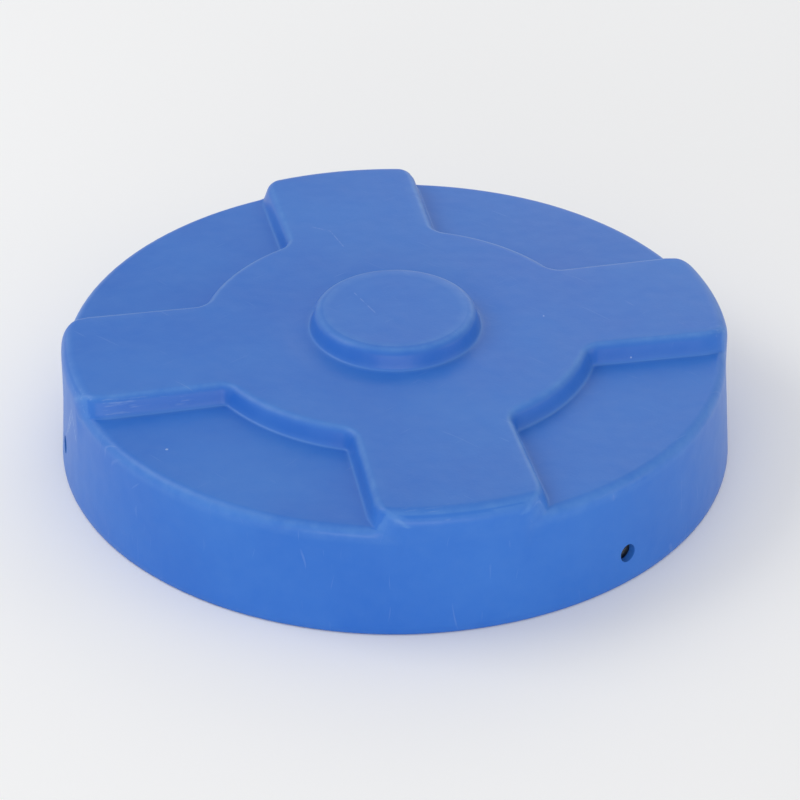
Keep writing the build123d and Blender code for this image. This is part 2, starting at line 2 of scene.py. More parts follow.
# # A moulded cover and float valve for a round water trough
# The imported model is a fixed frame: its nodes are never moved, and every new piece goes where they say.
# The frame's nodes and record are kept from the start, and its boxes are measured from them.

# %% Load the frame
import json
import bpy
import numpy as np
from math import cos, pi, radians, sin, sqrt, tan
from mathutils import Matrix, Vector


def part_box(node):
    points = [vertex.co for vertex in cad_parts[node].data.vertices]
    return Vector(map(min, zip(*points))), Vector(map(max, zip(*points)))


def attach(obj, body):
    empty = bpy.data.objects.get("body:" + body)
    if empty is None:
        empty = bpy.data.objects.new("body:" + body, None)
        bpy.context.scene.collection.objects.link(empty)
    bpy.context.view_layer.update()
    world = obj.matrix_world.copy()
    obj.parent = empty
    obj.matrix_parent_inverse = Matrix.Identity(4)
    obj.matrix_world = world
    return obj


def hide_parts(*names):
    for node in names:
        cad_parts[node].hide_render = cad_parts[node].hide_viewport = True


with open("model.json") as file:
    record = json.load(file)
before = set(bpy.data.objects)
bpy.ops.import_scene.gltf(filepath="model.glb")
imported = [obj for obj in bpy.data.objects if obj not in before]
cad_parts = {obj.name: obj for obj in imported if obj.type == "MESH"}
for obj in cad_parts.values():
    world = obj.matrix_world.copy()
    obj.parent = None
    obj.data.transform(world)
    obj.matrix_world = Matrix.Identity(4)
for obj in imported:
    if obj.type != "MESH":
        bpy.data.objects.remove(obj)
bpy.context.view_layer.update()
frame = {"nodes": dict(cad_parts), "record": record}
MM = 0.001

# %% [markdown]
# ## The camera
# A long lens from a few metres away keeps the far rim nearly as wide as the near one.
# The view is given in plain terms: which side, how high, how far.

# %% Camera
VIEW_AZIMUTH = radians(-101.27)      # where the camera stands, seen from the cover's middle
VIEW_ELEVATION = radians(32.87)
VIEW_DISTANCE = 2.532                # metres
LENS = 147.5                         # millimetres on a 36 mm sensor
AIM_RIGHT = 0.0036                   # the camera looks a little off the origin
AIM_UP = 0.0275

to_camera = np.array([
    cos(VIEW_ELEVATION) * cos(VIEW_AZIMUTH),
    cos(VIEW_ELEVATION) * sin(VIEW_AZIMUTH),
    sin(VIEW_ELEVATION),
])
view_right = np.array([-sin(VIEW_AZIMUTH), cos(VIEW_AZIMUTH), 0.0])
view_up = np.cross(to_camera, view_right)

from mathutils import Matrix, Vector

camera_data = bpy.data.cameras.new("camera")
camera_data.lens = LENS
camera_data.sensor_width = 36.0
camera = bpy.data.objects.new("camera", camera_data)
bpy.context.scene.collection.objects.link(camera)
eye = to_camera * VIEW_DISTANCE + view_right * AIM_RIGHT + view_up * AIM_UP
camera.matrix_world = Matrix([
    [view_right[0], view_up[0], to_camera[0], eye[0]],
    [view_right[1], view_up[1], to_camera[1], eye[1]],
    [view_right[2], view_up[2], to_camera[2], eye[2]],
    [0.0, 0.0, 0.0, 1.0],
])
bpy.context.scene.camera = camera
print("camera stands at", [round(float(x), 3) for x in eye])

# %% [markdown]
# ## Light and floor
# A white studio lights an object from all round. A bright world does most of it, and soft lamps shape it.
# The floor is a wide pale disc, so the object stands on something and keeps a soft contact shadow.

# %% World, lamps and floor
scene = bpy.context.scene
scene.view_settings.view_transform = "Standard"
scene.view_settings.look = "None"

world = bpy.data.worlds.new("studio")
scene.world = world
world.use_nodes = True
sky = world.node_tree.nodes["Background"]
sky.inputs["Color"].default_value = (0.97, 0.98, 1.0, 1.0)
sky.inputs["Strength"].default_value = 0.68


def area_lamp(name, place, aim, size, power, color=(1.0, 1.0, 1.0)):
    """An area lamp of a width and a height at a place, turned to face a point."""
    data = bpy.data.lights.new(name, "AREA")
    data.energy = power
    data.shape = "RECTANGLE"
    data.size, data.size_y = size
    data.color = color
    lamp = bpy.data.objects.new(name, data)
    scene.collection.objects.link(lamp)
    lamp.location = place
    lamp.rotation_euler = (Vector(aim) - Vector(place)).to_track_quat("-Z", "Y").to_euler()
    return lamp


def from_view(right, forward, up):
    """A place given as the camera's operator would: metres to the right, towards the lens, and up."""
    towards = np.array([cos(VIEW_AZIMUTH), sin(VIEW_AZIMUTH), 0.0])
    return tuple(float(x) for x in view_right * right + towards * forward + np.array([0.0, 0.0, up]))


area_lamp("key_left", from_view(-1.7, -0.2, 1.7), (0, 0, 0.08), (1.3, 1.3), 12)
area_lamp("strip_front", from_view(0.0, 2.4, 0.42), (0, 0, 0.08), (2.2, 0.42), 15, (1.0, 0.97, 0.93))
area_lamp("warm_right", from_view(2.3, 0.6, 0.6), (0, 0, 0.06), (0.8, 0.8), 3.5, (1.0, 0.82, 0.66))
area_lamp("back_glow", from_view(0.7, -2.3, 1.2), (0, 0, 0.08), (1.6, 1.6), 6)


def put_mesh(name, points, faces):
    """A mesh object at the origin from an array of points in metres and a list of faces."""
    mesh = bpy.data.meshes.new(name)
    mesh.from_pydata(points.tolist(), [], faces)
    mesh.update()
    piece = bpy.data.objects.new(name, mesh)
    scene.collection.objects.link(piece)
    return piece


FLOOR_RADIUS = 6.0
turn = np.linspace(0, 2 * pi, 97)[:-1]
floor_rings = [np.c_[r * np.cos(turn), r * np.sin(turn), 0 * turn] for r in (0.01, 1.0, FLOOR_RADIUS)]
floor_points = np.vstack(floor_rings)
count = len(turn)
floor_faces = [
    (
        ring * count + i,
        ring * count + (i + 1) % count,
        (ring + 1) * count + (i + 1) % count,
        (ring + 1) * count + i,
    )
    for ring in range(2) for i in range(count)
] + [tuple(range(count))]
floor_drop = np.array([0, 0, 0.0003])
floor_faces = [face[::-1] if len(face) == 4 else face for face in floor_faces]
floor = put_mesh("floor", floor_points - floor_drop, floor_faces)
floor_material = bpy.data.materials.new("pale_floor")
floor_material.use_nodes = True
floor_shader = floor_material.node_tree.nodes["Principled BSDF"]
floor_shader.inputs["Base Color"].default_value = (0.985, 0.985, 0.98, 1)
floor_shader.inputs["Roughness"].default_value = 0.9
floor_shader.inputs["Specular IOR Level"].default_value = 0.1
floor.data.materials.append(floor_material)
print("floor radius", FLOOR_RADIUS, "m, lamps", len(bpy.data.lights))

# %% [markdown]
# ## The moulded cover
# The real cover is one sheet of polyethylene that has run over the inside of a heated mould, so all its
# edges are soft and its flats are never quite flat. It is made here as one surface of two parameters.
# One runs from the centre out over the top, down the skirt, round the lip and back up inside. The other
# runs round the axis, with its lines crowded along the sides of the four arms.

# %% Sizes of the cover, in millimetres
cover_low, cover_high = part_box("cover_shell")
FOOT_RADIUS = (cover_high.x - cover_low.x) / 2 / MM
BOSS_TOP = cover_high.z / MM
RIM_RADIUS = FOOT_RADIUS - 6.0
QUADRANT_TOP = BOSS_TOP - 29.5
CROSS_TOP = BOSS_TOP - 14.5
DISC_RADIUS = 150.0
BOSS_RADIUS = 63.0
ARM_HALF_WIDTH = 60.6                # where an arm leaves the disc
ARM_SPLAY = 0.02
ARM_END_RADIUS = RIM_RADIUS + 2.4
ARM_CORNER = 19.0                    # an arm's two outer corners, seen from above
ARM_RIM = 11.5                       # the rounding over an arm's end, and over the rim between arms
QUADRANT_RIM = 8.0
WALL = 5.5
STEP_DRAFT = radians(18)
PLAN_CORNER = 5.0
print("cover", round(FOOT_RADIUS * 2), "mm across,", round(BOSS_TOP, 1), "mm high")

# %% [markdown]
# ## How a moulded step goes up
# The cross and the boss rise in steps with a round foot, a sloping wall and a round top edge. One outline
# of that shape serves both, as pairs of distance and height. Points lie close on the two roundings, where
# the surface turns, and far apart on the straight wall.

# %% The outline of a step


def step_profile(height, foot_fillet, top_fillet, turns=7):
    """Points (d, z) up a step: a hollow arc at the foot, a straight drafted wall, and a round arc at the top.
    d grows towards the high side and is 0 half way up the wall."""
    steep = pi / 2 - STEP_DRAFT
    foot = np.linspace(0, steep, turns)
    top = np.linspace(steep, 0, turns + 3)
    rise = height - (foot_fillet + top_fillet) * (1 - cos(steep))
    run = rise / tan(steep)
    d_foot = foot_fillet * np.sin(foot)
    z_foot = foot_fillet * (1 - np.cos(foot))
    d_wall = d_foot[-1] + run * np.array([1 / 3, 2 / 3])
    z_wall = z_foot[-1] + rise * np.array([1 / 3, 2 / 3])
    d_top = d_foot[-1] + run + top_fillet * (sin(steep) - np.sin(top))
    z_top = height - top_fillet * (1 - np.cos(top))
    d = np.concatenate([d_foot, d_wall, d_top])
    z = np.concatenate([z_foot, z_wall, z_top])
    return d - (d_foot[-1] + run / 2), z


cross_d, cross_z = step_profile(CROSS_TOP - QUADRANT_TOP, 2.2, 7.0)
boss_d, boss_z = step_profile(BOSS_TOP - CROSS_TOP, 2.0, 7.0)
wall_ends = [round(float(end), 2) for end in (cross_d[0], cross_d[-1])]
print("step points:", len(cross_d), "wall runs from and to", wall_ends)

# %% [markdown]
# ## A grid that follows the shape
# A surface made of rows and columns shades cleanly only when its lines run along the edges that it has.
# So the columns follow the sides of the four arms, and the rows follow the boss and the disc. Working the
# lines out beforehand costs a few formulas, and saves any remeshing afterwards.

# %% Lines of the grid
HALF_SECTOR = pi / 4
FAN_RADIUS = DISC_RADIUS - cross_d[-1] - 2.0      # inside it the grid lines run straight to the centre
INNER_COLUMNS = 9
OUTER_COLUMNS = 15


def half_width(along):
    """Half width of an arm at a distance from the centre."""
    return ARM_HALF_WIDTH + ARM_SPLAY * (along - DISC_RADIUS)


def corner_trim(gap, corner):
    """How far an arm's side has come in at a distance gap from its end: a quarter circle in plan."""
    run = np.clip(corner - gap, 0, corner)
    return corner - np.sqrt(corner ** 2 - run ** 2)


def column_angles(radius, trim):
    """Angles from an arm's middle to the middle of a quadrant, for each radius: even steps over the arm,
    close steps over its side, then even steps over the quadrant."""
    r = np.maximum(radius, FAN_RADIUS)[:, None]
    half = half_width(r * 0.95) - trim[:, None]
    inner = np.linspace(0, 1, INNER_COLUMNS)[None, :-1] * (half - cross_d[-1])
    side = half - cross_d[::-1][None, :]
    across = np.concatenate([inner, side], axis=1)
    near = np.arcsin(across / r)
    last = near[:, -1:]
    share = np.linspace(0, 1, OUTER_COLUMNS)[None, 1:]
    share = 0.35 * share + 0.65 * share ** 1.6
    return np.concatenate([near, last + (HALF_SECTOR - last) * share], axis=1)


def all_round(half):
    """Mirrors each half sector and repeats it for the four arms."""
    sector = np.concatenate([-half[:, :0:-1], half], axis=1)[:, :-1]
    return np.concatenate([sector + quarter * pi / 2 for quarter in range(4)], axis=1)


top_rows = np.concatenate([
    np.linspace(3.0, BOSS_RADIUS - boss_d[-1] - 1.0, 9),
    (BOSS_RADIUS - boss_d)[::-1],
    np.linspace(BOSS_RADIUS + 6.0, FAN_RADIUS, 12),
    (DISC_RADIUS - cross_d)[::-1],
    DISC_RADIUS - cross_d[0] + np.array([1.0, 2.2, 3.6, 5.4, 8.0]),
])
print("rows on the top:", len(top_rows))

# %% [markdown]
# ## The shape as a formula
# Every height on the top comes from one question: how far inside the cross, and how far inside the boss,
# does a point lie? The step's profile turns that distance into a height. A slow ripple is added last,
# because cooled polyethylene is never quite flat, and that is what makes its sheen wander.

# %% Height of the top and reach of the skirt


def arm_distance(x, y):
    """How far inside (positive) or outside the nearest arm's side a point lies."""
    along = np.maximum(np.abs(x), np.abs(y))
    aside = np.minimum(np.abs(x), np.abs(y))
    return half_width(along) - aside


def cross_distance(x, y, corner, trim):
    """How far inside the cross a point lies: the larger of arm and disc, with the inner corner rounded off
    by a circle of radius corner. trim is what the arm's outer corner takes off its side."""
    a = np.hypot(x, y) - DISC_RADIUS
    b = trim - arm_distance(x, y)
    outside = np.maximum(corner, np.minimum(a, b))
    outside = outside - np.hypot(np.maximum(corner - a, 0), np.maximum(corner - b, 0))
    return -outside


def ripple(x, y, z=0.0):
    """The slow unevenness of a moulded wall, from 0 to 1: a few long waves that cross."""
    wave = np.sin(x / 41 + 1.3 * np.sin(y / 57 + 0.4)) + np.sin(y / 36 + 1.1 * np.sin(x / 63 + 2.0) + 0.7)
    wave = wave + 0.6 * np.sin((x + y) / 23 + z / 31 + 1.9) + 0.6 * np.sin((x - y) / 27 - z / 29)
    return 0.5 + wave / 6.4


def top_height(x, y, inset, trim):
    """Height of the top: the quadrant floor, plus the step of the cross, plus the step of the boss, less the
    slow ripple and a shallow dish round the boss. inset moves the surface in by the wall, for the inside."""
    if inset:
        d, z = step_profile(CROSS_TOP - QUADRANT_TOP, 3.0 + inset, 1.2)
        bd, bz = step_profile(BOSS_TOP - CROSS_TOP, 3.0 + inset, 1.2)
    else:
        d, z, bd, bz = cross_d, cross_z, boss_d, boss_z
    r = np.hypot(x, y)
    height = QUADRANT_TOP - inset + np.interp(
        cross_distance(x, y, PLAN_CORNER + inset, trim) - inset, d, z
    )
    height = height + np.interp(BOSS_RADIUS - r - inset, bd, bz)
    dish = 0.8 * np.exp(-((r - 73.0) / 9.0) ** 2)
    bead = 0.25 * np.exp(-((r - BOSS_RADIUS + 9.5) / 1.3) ** 2)
    return height - dish + bead - 0.35 * ripple(x, y) - 0.25


def skirt_radius(angle, height, inset):
    """Outside radius of the skirt: a cone, and at the arms a cylinder proud of it near the top."""
    cone = FOOT_RADIUS - (FOOT_RADIUS - RIM_RADIUS) * height / QUADRANT_TOP
    x, y = RIM_RADIUS * np.cos(angle), RIM_RADIUS * np.sin(angle)
    blend = np.clip((arm_distance(x, y) - 8.0) / 12.0, 0, 1)
    blend = blend * blend * (3 - 2 * blend)
    proud = 0.5 * (ARM_END_RADIUS - cone + np.sqrt((ARM_END_RADIUS - cone) ** 2 + 1.0))
    x, y = 1.2 * x, 1.2 * y
    return cone + blend * proud - inset - 0.45 * ripple(y, x, height)


# %% [markdown]
# ## One skin of the cover
# The outer and the inner side of the wall have the same shape a wall's thickness apart, so one function
# makes both. Where an arm meets the rim, three roundings run together: over the end, over the side, and
# round the corner in plan. Each row of the grid has its own place in the rounding over the end, and its
# columns come in by what the corner takes off the arm there, so the lines of the grid flow round it.

# %% Build one skin of the cover
RIM_ROWS = 15
SKIRT_ROWS = 18
ARM_ROWS = 12
LIP = 1.4
RIM_TURN = pi / 2 * 0.955            # the rounding ends where it meets the skirt's slope


def all_round_values(half):
    """A value for each column of a half sector, mirrored and repeated for the four arms."""
    sector = np.concatenate([half[:0:-1], half])[:-1]
    return np.tile(sector, 4)


def columns_on_arm():
    """For each column, 1 on an arm's top, 0 on a quadrant's floor, and the share of the step between."""
    step = cross_z[::-1] / cross_z[-1]
    on_top = np.ones(INNER_COLUMNS - 1)
    on_floor = np.zeros(OUTER_COLUMNS - 1)
    return all_round_values(np.concatenate([on_top, step, on_floor]))


def cover_skin(inset):
    """Rows of points from the centre out. On top, height is a function of place. Over the rim, radius and
    height follow a quarter circle. Down the skirt, radius is a function of angle and height."""
    end = ARM_END_RADIUS - inset
    corner = ARM_CORNER - inset
    on_arm = columns_on_arm()
    rim = QUADRANT_RIM + (ARM_RIM - QUADRANT_RIM) * on_arm - inset
    bend = np.linspace(0, RIM_TURN, RIM_ROWS)[1:]

    share = np.linspace(0, 1, ARM_ROWS)[1:]
    arm_r = top_rows[-1] + (end - (ARM_RIM - inset) - top_rows[-1]) * share
    rim_gap = (ARM_RIM - inset) * (1 - np.sin(bend))
    row_r = np.concatenate([top_rows, arm_r, end - rim_gap])
    trim = corner_trim(end - row_r, corner)
    angle = all_round(column_angles(row_r, trim))

    foot_of_rim = QUADRANT_TOP + (CROSS_TOP - QUADRANT_TOP) * on_arm - inset - rim
    edge_radius = skirt_radius(angle[-1], foot_of_rim, inset)
    inner_r = top_rows[:, None] + 0 * on_arm
    outer_r = top_rows[-1] + (edge_radius - rim - top_rows[-1]) * share[:, None]
    rim_r = edge_radius - rim * (1 - np.sin(bend[:, None]))
    r = np.concatenate([inner_r, outer_r, rim_r])
    x, y = r * np.cos(angle), r * np.sin(angle)
    z = top_height(x, y, inset, trim[:, None])
    z[-len(bend):] -= rim * (1 - np.cos(bend[:, None]))

    drop = np.linspace(0, 1, SKIRT_ROWS)[1:, None]
    skirt_z = z[-1] * (1 - drop) + LIP * drop
    skirt_r = skirt_radius(angle[-1] + 0 * skirt_z, skirt_z, inset)
    skirt = np.stack([skirt_r * np.cos(angle[-1]), skirt_r * np.sin(angle[-1]), skirt_z], axis=2)
    return np.concatenate([np.stack([x, y, z], axis=2), skirt])


def grid_faces(rows, columns, start=0):
    """Quads between neighbouring rows of a grid that closes on itself round each row."""
    row, column = np.meshgrid(np.arange(rows - 1), np.arange(columns), indexing="ij")
    a = start + row * columns + column
    b = start + row * columns + (column + 1) % columns
    return np.stack([a, a + columns, b + columns, b], axis=2).reshape(-1, 4).tolist()


def cover_points():
    """Outer skin from the centre to the foot, a rounded lip, and the inner skin back to the centre."""
    outer = cover_skin(0.0)
    inner = cover_skin(WALL)[::-1]
    foot, heel = outer[-1], inner[0]
    lip = []
    for part in (0.15, 0.5, 0.85):
        point = foot * (1 - part) + heel * part
        point[:, 2] = LIP * (1 - (1 - (2 * part - 1) ** 2) ** 0.5) * 0.5
        lip.append(point)
    return np.concatenate([outer, np.stack(lip), inner])


skin = cover_points()
rows, columns = skin.shape[:2]
points = np.vstack([skin.reshape(-1, 3), [[0, 0, skin[0, :, 2].mean()], [0, 0, skin[-1, :, 2].mean()]]]) * MM
faces = grid_faces(rows, columns)
pole_top, pole_inside = rows * columns, rows * columns + 1
last = (rows - 1) * columns
faces += [(i, (i + 1) % columns, pole_top) for i in range(columns)]
faces += [(last + (i + 1) % columns, last + i, pole_inside) for i in range(columns)]
cover = put_mesh("moulded_cover", points, faces)
print("cover grid:", rows, "rows by", columns, "columns,", len(faces), "faces")

# %% [markdown]
# ## The drilled holes
# Three holes for fixing screws are drilled after moulding, so their edges are crisp while every other edge
# is soft. A Boolean with three short drills cuts them. It is applied at once, so that the finished piece
# is a plain mesh, and the drills are thrown away.

# %% Drill the cover
HOLE_RADIUS = 7.0
HOLE_HEIGHT = 25.0
HOLE_ANGLES = [radians(180), radians(-60), radians(60)]
DRILL_SIDES = 48


def drill_points(angle):
    """A cylinder along a radius of the cover: two rings of points, inside and outside the skirt."""
    turn = np.linspace(0, 2 * pi, DRILL_SIDES + 1)[:-1]
    out = np.array([cos(angle), sin(angle), 0.0])
    side = np.array([-sin(angle), cos(angle), 0.0])
    ring = HOLE_RADIUS * (np.cos(turn)[:, None] * side + np.sin(turn)[:, None] * np.array([0, 0, 1.0]))
    ring = ring + np.array([0, 0, HOLE_HEIGHT])
    return np.vstack([ring + out * (FOOT_RADIUS - 25), ring + out * (FOOT_RADIUS + 15)]) * MM


for angle in HOLE_ANGLES:
    sides = [
        (i, (i + 1) % DRILL_SIDES, DRILL_SIDES + (i + 1) % DRILL_SIDES, DRILL_SIDES + i)
        for i in range(DRILL_SIDES)
    ]
    ends = [tuple(range(DRILL_SIDES))[::-1], tuple(range(DRILL_SIDES, 2 * DRILL_SIDES))]
    drill = put_mesh("drill", drill_points(angle), sides + ends)
    cut = cover.modifiers.new("hole", "BOOLEAN")
    cut.object = drill
    cut.operation = "DIFFERENCE"
    cut.solver = "EXACT"
    bpy.context.view_layer.update()
    drilled = bpy.data.meshes.new_from_object(cover.evaluated_get(bpy.context.evaluated_depsgraph_get()))
    cover.modifiers.clear()
    cover.data = drilled
    bpy.data.objects.remove(drill)

cover.data.polygons.foreach_set("use_smooth", np.ones(len(cover.data.polygons), bool))
cover.data.set_sharp_from_angle(angle=radians(42))
print("cover after drilling:", len(cover.data.polygons), "faces")

# %% [markdown]
# ## Where the cover is worn, and where highlights are painted
# Wear follows shape: edges that stand out grow pale from rubbing, and the ends of the arms show scuffing
# where covers are stacked and dragged. Some of these masks also paint highlights: a pale line along the step
# edges and round the boss top, one at the feet of the steps, and a streak on the left arm's near wall.
# The shape is a formula, so its wear can be one too. Each mask is worked
# out for all the points at once and kept on the mesh as an attribute, which the material reads by name.

# %% Wear and painted highlight masks on the mesh


def read_points(piece):
    """The points of a piece's mesh as an array, in millimetres."""
    flat = np.empty(len(piece.data.vertices) * 3, np.float32)
    piece.data.vertices.foreach_get("co", flat)
    return flat.reshape(-1, 3).astype(float) / MM


def put_attribute(piece, name, values):
    """A number from 0 to 1 for each point of a mesh, under a name that materials can read."""
    layer = piece.data.attributes.new(name, "FLOAT", "POINT")
    layer.data.foreach_set("value", np.clip(values, 0, 1).astype(np.float32))


def bump_at(value, middle, spread):
    """A smooth hill: 1 where value is at the middle, falling to nearly 0 two spreads away."""
    return np.exp(-((value - middle) / spread) ** 2)


x, y, z = read_points(cover).T
r = np.hypot(x, y)
on_top_skin = z > top_height(x, y, 0.0, 0.0) - WALL / 2
on_skirt_skin = r > skirt_radius(np.arctan2(y, x), z, 0.0) - WALL / 2
outside = (z > LIP) & (on_top_skin | on_skirt_skin)
inside_cross = cross_distance(x, y, PLAN_CORNER, corner_trim(ARM_END_RADIUS - r, ARM_CORNER))
# Pale edges: wear from rubbing, plus a painted highlight along the top rounding of the steps, the rim and the
# boss.
step_edge = bump_at(inside_cross, cross_d[-4], 2.2) * (z > QUADRANT_TOP + 4)
boss_edge = bump_at(BOSS_RADIUS - r, boss_d[-4], 2.0) * (z > CROSS_TOP + 4)
rim_edge = bump_at(r, RIM_RADIUS - 2.0, 3.0) * (z > QUADRANT_TOP - 9)
# Painted highlight: a thin pale ring on the boss top where its rounding begins.
boss_ring_highlight = bump_at(r, BOSS_RADIUS - 9.5, 1.0)
rubbed_and_highlight = 0.8 * step_edge + 0.7 * boss_edge + 0.6 * boss_ring_highlight + 0.6 * rim_edge
put_attribute(cover, "rubbed_and_highlight", outside * rubbed_and_highlight)
# Painted highlight: a thin pale line along the foot of each step and of the boss.
step_foot_highlight = bump_at(inside_cross, cross_d[2], 1.3) * (r < RIM_RADIUS - 6)
foot_highlight = step_foot_highlight + bump_at(BOSS_RADIUS - r, boss_d[2], 1.3)
put_attribute(cover, "foot_highlight", outside * foot_highlight)

front_end = 0.8 * bump_at(r, ARM_END_RADIUS - 9, 12.0) * (y < -180) * bump_at(x, -20, 42)
# Painted highlight: a pale streak along the left arm's near wall, carried in the scuff mask.
left_wall_highlight = 1.15 * bump_at(y, -ARM_HALF_WIDTH - 1, 5.0) * np.clip((-x - 80) / 130, 0, 1)
left_corner = bump_at(r, ARM_END_RADIUS - 4, 7.0) * (x < -200) * bump_at(y, -40, 30)
right_corner = bump_at(r, ARM_END_RADIUS - 9, 10.0) * (x > 200) * bump_at(y, -52, 16)
back_end = 0.5 * bump_at(r, ARM_END_RADIUS - 6, 6.0) * (y > 200)
scuffed_and_highlight = (front_end + left_wall_highlight + left_corner + right_corner + back_end) * (z > QUADRANT_TOP + 1)
put_attribute(cover, "scuffed_and_highlight", outside * scuffed_and_highlight)
print("points with wear:", int((scuffed_and_highlight * outside > 0.2).sum()), "scuffed of", len(x))

# %% [markdown]
# ## Building finishes out of nodes
# A material is a small graph of nodes. Writing each link by hand is slow to read, so four short helpers do
# it: one adds a node and feeds its sockets, one does sums, one mixes two colours by a mask, and one
# stretches a range of values. Effects that several finishes share become node groups, made once.

# %% Node helpers


def put(tree, kind, feeds=None, **settings):
    """Adds a node. feeds gives each socket, by name or number, a value or the socket that drives it."""
    node = tree.nodes.new("ShaderNode" + kind)
    for key, value in settings.items():
        setattr(node, key, value)
    for key, value in (feeds or {}).items():
        if isinstance(value, bpy.types.NodeSocket):
            tree.links.new(value, node.inputs[key])
        else:
            node.inputs[key].default_value = value
    return node


def maths(tree, operation, *values):
    """The result of one Math node on numbers or sockets."""
    return put(tree, "Math", dict(enumerate(values)), operation=operation).outputs[0]


def mixed(tree, share, first, second):
    """Two colours mixed by a mask."""
    first, second = [(*c, 1.0) if isinstance(c, tuple) and len(c) == 3 else c for c in (first, second)]
    return put(tree, "Mix", {0: share, 6: first, 7: second}, data_type="RGBA").outputs[2]


def stretched(tree, value, low, high, to_low=0.0, to_high=1.0):
    """A value moved from one range to another and held at the ends."""
    return put(tree, "MapRange", {0: value, 1: low, 2: high, 3: to_low, 4: to_high}).outputs[0]


def place(tree):
    """Where a point is on its piece, in metres."""
    return put(tree, "TexCoord").outputs["Object"]


def noise(tree, where, scale, detail=3.0, roughness=0.55):
    """Soft noise, from about 0.25 to 0.75."""
    feeds = {"Vector": where, "Scale": scale, "Detail": detail, "Roughness": roughness}
    return put(tree, "TexNoise", feeds).outputs[0]


def new_group(name, inputs, outputs):
    """An empty node group: its tree, the sockets that come in, and the sockets that go out."""
    tree = bpy.data.node_groups.new(name, "ShaderNodeTree")
    for label, value in inputs.items():
        kind = "NodeSocketVector" if isinstance(value, tuple) else "NodeSocketFloat"
        tree.interface.new_socket(label, in_out="INPUT", socket_type=kind).default_value = value
    for label in outputs:
        tree.interface.new_socket(label, in_out="OUTPUT", socket_type="NodeSocketFloat")
    return tree, tree.nodes.new("NodeGroupInput").outputs, tree.nodes.new("NodeGroupOutput").inputs


def use(tree, group, **feeds):
    """Places a node group in a material and gives its inputs their values."""
    node = tree.nodes.new("ShaderNodeGroup")
    node.node_tree = group
    for key, value in feeds.items():
        socket = node.inputs[key.replace("_", " ")]
        if isinstance(value, bpy.types.NodeSocket):
            tree.links.new(value, socket)
        else:
            socket.default_value = value
    return node.outputs


def finish(name, roughness=0.5, metallic=0.0, **constants):
    """A new material: its tree and its shader, with the values that are the same all over."""
    material = bpy.data.materials.new(name)
    material.use_nodes = True
    tree = material.node_tree
    shader = tree.nodes["Principled BSDF"]
    shader.inputs["Roughness"].default_value = roughness
    shader.inputs["Metallic"].default_value = metallic
    for key, value in constants.items():
        shader.inputs[key.replace("_", " ")].default_value = value
    return material, tree, shader


def surface(tree, shader, colour, roughness=None, height=None, depth=0.0005):
    """Connects what changes over the surface: colour, roughness, and a height that becomes bumps."""
    tree.links.new(colour, shader.inputs["Base Color"])
    if roughness is not None:
        tree.links.new(roughness, shader.inputs["Roughness"])
    if height is not None:
        bump = put(tree, "Bump", {"Strength": 1.0, "Distance": depth, "Height": height})
        tree.links.new(bump.outputs[0], shader.inputs["Normal"])


print("node helpers ready")

# %% [markdown]
# ## Effects that several finishes share
# Cloudy colour, tiny chips, hair scratches, settled dust and a single drawn scratch. Each is a group with
# inputs in metres, so that a patch is the same size on a nut as on the cover. They give out masks from 0
# to 1 only. What a mask means, pale or dark, rough or smooth, is decided in the material.

# %% Cloudy patches and specks
clouds, given, out = new_group("clouds", {"Size": 0.05, "Contrast": 1.0}, ["Mask"])
where = place(clouds)
fine = noise(clouds, where, maths(clouds, "DIVIDE", 1.0, given["Size"]), 4.0)
gain = maths(clouds, "MULTIPLY", given["Contrast"], 2.6)
centred = maths(clouds, "MULTIPLY", maths(clouds, "SUBTRACT", fine, 0.5), gain)
clouds.links.new(stretched(clouds, maths(clouds, "ADD", centred, 0.5), 0.0, 1.0), out["Mask"])

specks, given, out = new_group("specks", {"Size": 0.001, "Spacing": 0.02, "Share": 0.3}, ["Mask"])
cells = put(specks, "TexVoronoi", {
    "Vector": place(specks),
    "Scale": maths(specks, "DIVIDE", 1.0, given["Spacing"]),
})
chosen = put(specks, "SeparateColor", {0: cells.outputs["Color"]}).outputs[0]
reach = maths(specks, "DIVIDE", given["Size"], given["Spacing"])
reach = maths(specks, "MULTIPLY", reach, put(specks, "SeparateColor", {0: cells.outputs["Color"]}).outputs[1])
near = maths(specks, "LESS_THAN", cells.outputs["Distance"], reach)
picked = maths(specks, "LESS_THAN", chosen, given["Share"])
specks.links.new(maths(specks, "MULTIPLY", near, picked), out["Mask"])
print("groups:", clouds.name, specks.name)

# %% [markdown]
# ## Hair scratches
# A fine scratch is noise stretched a long way in one direction and squeezed in the other. Keeping only its
# brightest values leaves separate thin lines, and a little wobble stops them from being ruler straight.

# %% Hair scratches
hair, given, out = new_group(
    "hair scratches", {"Length": 0.03, "Width": 0.0004, "Turn": 0.5, "Amount": 0.3}, ["Mask"]
)
turning = {"Vector": place(hair), "Angle": given["Turn"]}
turned = put(hair, "VectorRotate", turning, rotation_type="Z_AXIS").outputs[0]
wobble = noise(hair, turned, 25.0, 1.0)
parts_xyz = put(hair, "SeparateXYZ", {0: turned}).outputs
lengthwise = maths(hair, "DIVIDE", parts_xyz[0], given["Length"])
bent = maths(hair, "ADD", parts_xyz[1], maths(hair, "MULTIPLY", wobble, 0.01))
crosswise = maths(hair, "DIVIDE", bent, given["Width"])
crosswise = maths(hair, "MULTIPLY", crosswise, 0.35)
upwards = maths(hair, "DIVIDE", parts_xyz[2], given["Length"])
drawn_out = put(hair, "CombineXYZ", {0: lengthwise, 1: crosswise, 2: upwards}).outputs[0]
streaks = noise(hair, drawn_out, 1.0, 1.0)
least = maths(hair, "SUBTRACT", 0.80, maths(hair, "MULTIPLY", given["Amount"], 0.22))
mask = stretched(hair, streaks, least, maths(hair, "ADD", least, 0.05))
hair.links.new(mask, out["Mask"])
print("group:", hair.name)

